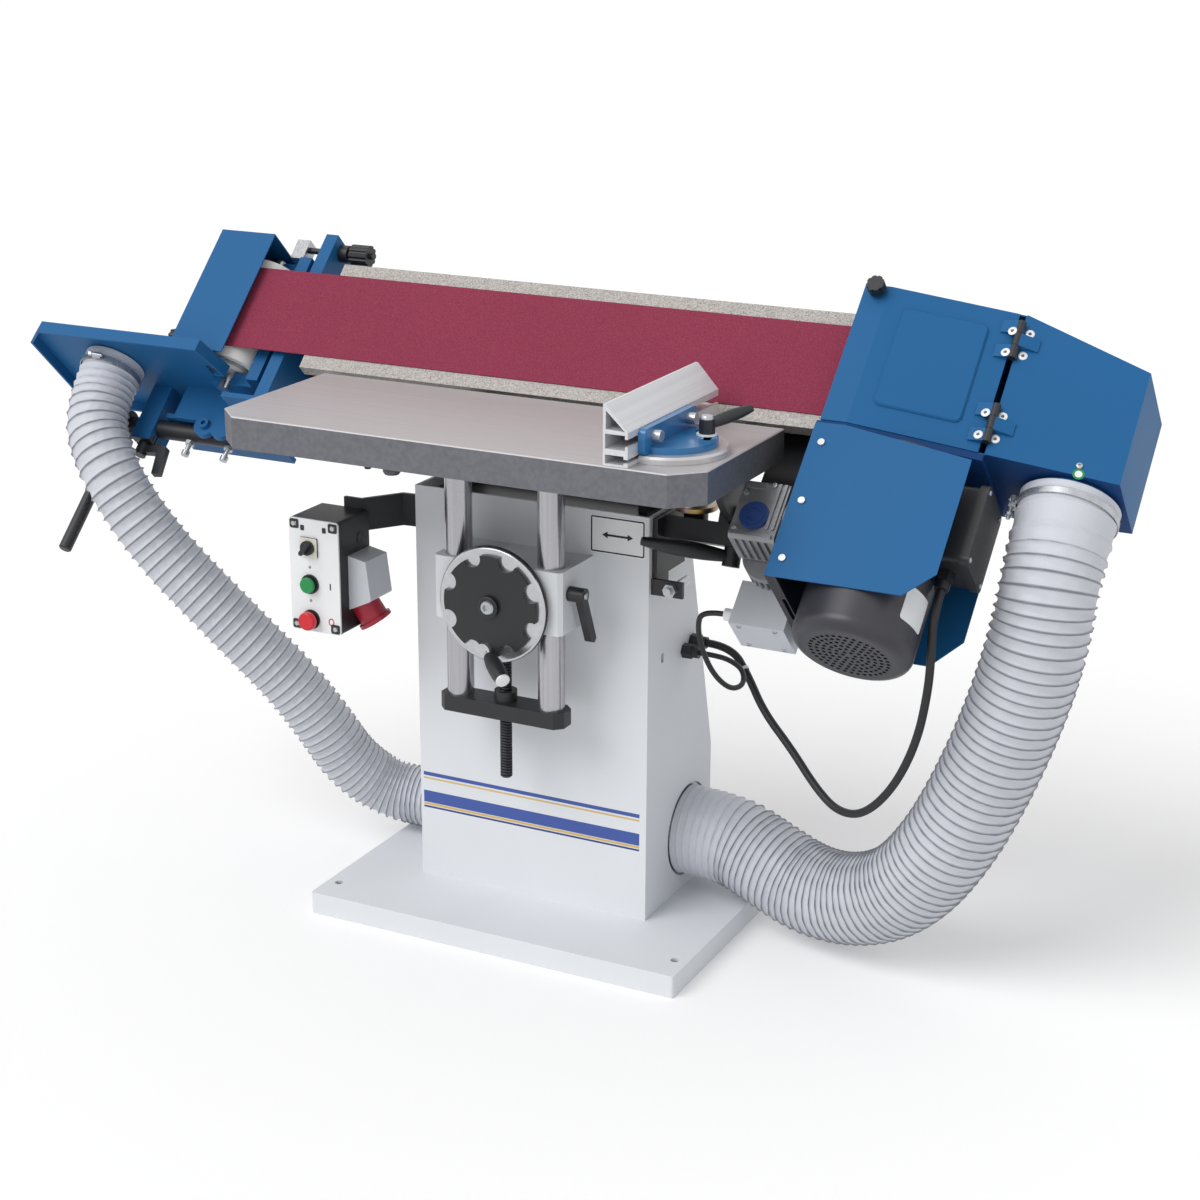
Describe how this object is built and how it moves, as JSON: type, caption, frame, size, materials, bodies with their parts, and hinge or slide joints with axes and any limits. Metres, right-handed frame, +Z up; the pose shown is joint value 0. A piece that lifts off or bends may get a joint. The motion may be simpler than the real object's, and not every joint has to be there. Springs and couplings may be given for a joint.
{
  "type": "edge sander",
  "caption": "Floor-standing edge sander: tilting belt unit on a column, lifting cast table with mitre fence, motor, guards and ribbed dust hoses.",
  "frame": {"origin": "on the floor under the middle of the base plate", "axes": "+X along the belt to the motor end, +Y to the back, +Z up"},
  "size_m": [1.781, 0.63, 1.0134],
  "materials": {
    "paint_blue": "satin machine paint",
    "paint_grey": "light grey powder coat",
    "paint_dark": "dark satin paint",
    "cast_iron": "ground cast iron",
    "steel": "machined steel",
    "zinc": "speckled zinc plate",
    "chrome": "bright plated",
    "aluminium": "extruded or cast aluminium",
    "black_plastic": "black moulded plastic",
    "blue_plastic": "blue moulded plastic",
    "red_plastic": "red moulded plastic",
    "green_plastic": "green moulded plastic",
    "white_plastic": "white printed plate",
    "hose": "grey coated fabric over a wire helix",
    "belt_cloth": "abrasive cloth",
    "drum_rubber": "pale rubber facing",
    "cable": "black rubber sheath"
  },
  "bodies": {
    "stand": {"base_plate": "paint_grey", "column": "paint_grey", "dust_duct": "zinc", "pivot_saddle": "paint_dark", "slide_block": "paint_grey", "control_arm": "paint_dark", "control_box": "black_plastic", "control_plate": "white_plastic", "inlet_housing": "white_plastic", "inlet_socket": "red_plastic", "column_fittings": "paint_dark", "stand_screws": "steel", "right_hose": "hose", "left_hose": "hose", "motor_cable": "cable", "gear_cable": "cable"},
    "lead_screw": {"lead_screw": "paint_dark"},
    "handwheel": {"handwheel": "chrome", "handwheel_cover": "black_plastic"},
    "crank_handle": {"crank_handle": "black_plastic"},
    "rod_clamp": {"rod_clamp_lever": "black_plastic"},
    "table": {"work_table": "cast_iron", "guide_rods": "chrome", "crossbar": "paint_dark"},
    "mitre": {"mitre_base": "steel", "mitre_head": "paint_blue", "thumb_screws": "black_plastic"},
    "fence": {"mitre_fence": "aluminium"},
    "mitre_lever": {"mitre_lever": "black_plastic"},
    "main_switch": {"main_switch": "black_plastic"},
    "start_button": {"start_button": "green_plastic"},
    "stop_button": {"stop_button": "red_plastic"},
    "tilt_lever": {"tilt_lever": "black_plastic"},
    "sanding_unit": {"main_beam": "paint_dark", "platen": "zinc", "idler_frame": "paint_blue", "left_hood": "paint_blue", "round_table": "paint_blue", "table_bar": "paint_dark", "unit_screws": "steel", "guard_plates": "paint_blue", "motor": "paint_dark", "terminal_box": "black_plastic", "drive_hood": "paint_blue", "hood_leaves": "black_plastic", "gearbox": "aluminium", "gearbox_cap": "blue_plastic"},
    "belt": {"sanding_belt": "belt_cloth"},
    "drive": {"drive_drum": "drum_rubber"},
    "idler_slide": {"idler_yoke": "paint_blue", "yoke_rods": "steel"},
    "idler": {"idler_drum": "drum_rubber"},
    "tension": {"tension_lever": "paint_dark"},
    "tracking": {"tracking_screw": "black_plastic"},
    "hood_knob": {"hood_knob": "black_plastic"},
    "door": {"hood_door": "paint_blue", "door_leaves": "black_plastic"},
    "door_knob": {"door_knob": "black_plastic"},
    "bar_lever": {"bar_lever": "black_plastic"},
    "eccentric": {"eccentric": "steel"}
  },
  "joints": [
    {"name": "handwheel_turn", "type": "hinge", "parent": "stand", "child": "handwheel", "pos_m": [0, -0.19, 0.542], "axis": [0, 1, 0], "range_deg": [0, 3600]},
    {"name": "screw_turn", "type": "hinge", "parent": "stand", "child": "lead_screw", "pos_m": [0, -0.19, 0.4], "axis": [0, 0, 1], "range_deg": [0, 3600]},
    {"name": "table_lift", "type": "slide", "parent": "stand", "child": "table", "axis": [0, 0, 1], "range_m": [0, 0.1]},
    {"name": "crank_spin", "type": "hinge", "parent": "handwheel", "child": "crank_handle", "pos_m": [-0.007, -0.237, 0.4755], "axis": [0.7204, -0.6203, -0.3102], "continuous": true},
    {"name": "rod_clamp_turn", "type": "hinge", "parent": "stand", "child": "rod_clamp", "pos_m": [0.105, -0.19, 0.564], "axis": [1, 0, 0], "range_deg": [-60, 0]},
    {"name": "mitre_swing", "type": "hinge", "parent": "table", "child": "mitre", "pos_m": [0.29, -0.255, 0.815], "axis": [0, 0, 1], "range_deg": [-20, 20]},
    {"name": "fence_slide", "type": "slide", "parent": "mitre", "child": "fence", "axis": [0, 1, 0], "range_m": [-0.08, 0]},
    {"name": "mitre_clamp", "type": "hinge", "parent": "table", "child": "mitre_lever", "pos_m": [0.33073, -0.22431, 0.83], "axis": [0, 0, 1], "range_deg": [-45, 20]},
    {"name": "main_switch_turn", "type": "hinge", "parent": "stand", "child": "main_switch", "pos_m": [-0.297, -0.25, 0.593], "axis": [0, 1, 0], "range_deg": [0, 90]},
    {"name": "start_press", "type": "slide", "parent": "stand", "child": "start_button", "axis": [0, 1, 0], "range_m": [0, 0.0035], "stiffness_N_per_m": 600},
    {"name": "stop_press", "type": "slide", "parent": "stand", "child": "stop_button", "axis": [0, 1, 0], "range_m": [0, 0.0045], "stiffness_N_per_m": 600},
    {"name": "unit_tilt", "type": "hinge", "parent": "stand", "child": "sanding_unit", "pos_m": [0, -0.004, 0.788], "axis": [1, 0, 0], "range_deg": [0, 45], "deforming": ["right_hose", "left_hose", "motor_cable", "gear_cable"]},
    {"name": "tilt_clamp_turn", "type": "hinge", "parent": "stand", "child": "tilt_lever", "pos_m": [0.306, -0.06648, 0.62775], "axis": [0, -0.3633, -0.9317], "range_deg": [-60, 0]},
    {"name": "belt_stroke", "type": "slide", "parent": "sanding_unit", "child": "belt", "axis": [0, 0.7071, 0.7071], "range_m": [-0.004, 0.004]},
    {"name": "drive_turn", "type": "hinge", "parent": "sanding_unit", "child": "drive", "pos_m": [0.552, 0.04393, 0.84757], "axis": [0, 0.7071, 0.7071], "continuous": true},
    {"name": "tension_turn", "type": "hinge", "parent": "sanding_unit", "child": "tension", "pos_m": [-0.801, -0.03018, 0.67419], "axis": [1, 0, 0], "range_deg": [0, 60]},
    {"name": "idler_travel", "type": "slide", "parent": "sanding_unit", "child": "idler_slide", "axis": [1, 0, 0], "range_m": [0, 0.01]},
    {"name": "idler_turn", "type": "hinge", "parent": "idler_slide", "child": "idler", "pos_m": [-0.58762, 0.04393, 0.84757], "axis": [0, 0.7071, 0.7071], "continuous": true},
    {"name": "tracking_turn", "type": "hinge", "parent": "sanding_unit", "child": "tracking", "pos_m": [-0.44, 0.13599, 0.95632], "axis": [1, 0, 0], "range_deg": [-360, 360]},
    {"name": "hood_knob_turn", "type": "hinge", "parent": "sanding_unit", "child": "hood_knob", "pos_m": [-0.69, -0.02806, 0.82905], "axis": [1, 0, 0], "continuous": true},
    {"name": "door_swing", "type": "hinge", "parent": "sanding_unit", "child": "door", "pos_m": [0.665, 0.00641, 0.88509], "axis": [0, 0.7071, 0.7071], "range_deg": [0, 100]},
    {"name": "door_knob_turn", "type": "hinge", "parent": "door", "child": "door_knob", "pos_m": [0.462, 0.05185, 0.99946], "axis": [0, -0.7071, 0.7071], "continuous": true},
    {"name": "bar_lever_turn", "type": "hinge", "parent": "sanding_unit", "child": "bar_lever", "pos_m": [-0.744, -0.05846, 0.6459], "axis": [0, 0.7071, 0.7071], "range_deg": [0, 80]},
    {"name": "eccentric_turn", "type": "hinge", "parent": "sanding_unit", "child": "eccentric", "pos_m": [0.446, -0.12634, 0.69257], "axis": [1, 0, 0], "continuous": true}
  ],
  "couplings": [
    {"joint": "screw_turn", "follows": "handwheel_turn", "ratio": 1},
    {"joint": "table_lift", "follows": "handwheel_turn", "m_per_rad": 0.0015915},
    {"joint": "idler_travel", "follows": "tension_turn", "m_per_rad": 0.0095493},
    {"joint": "idler_turn", "follows": "drive_turn", "ratio": 1}
  ]
}
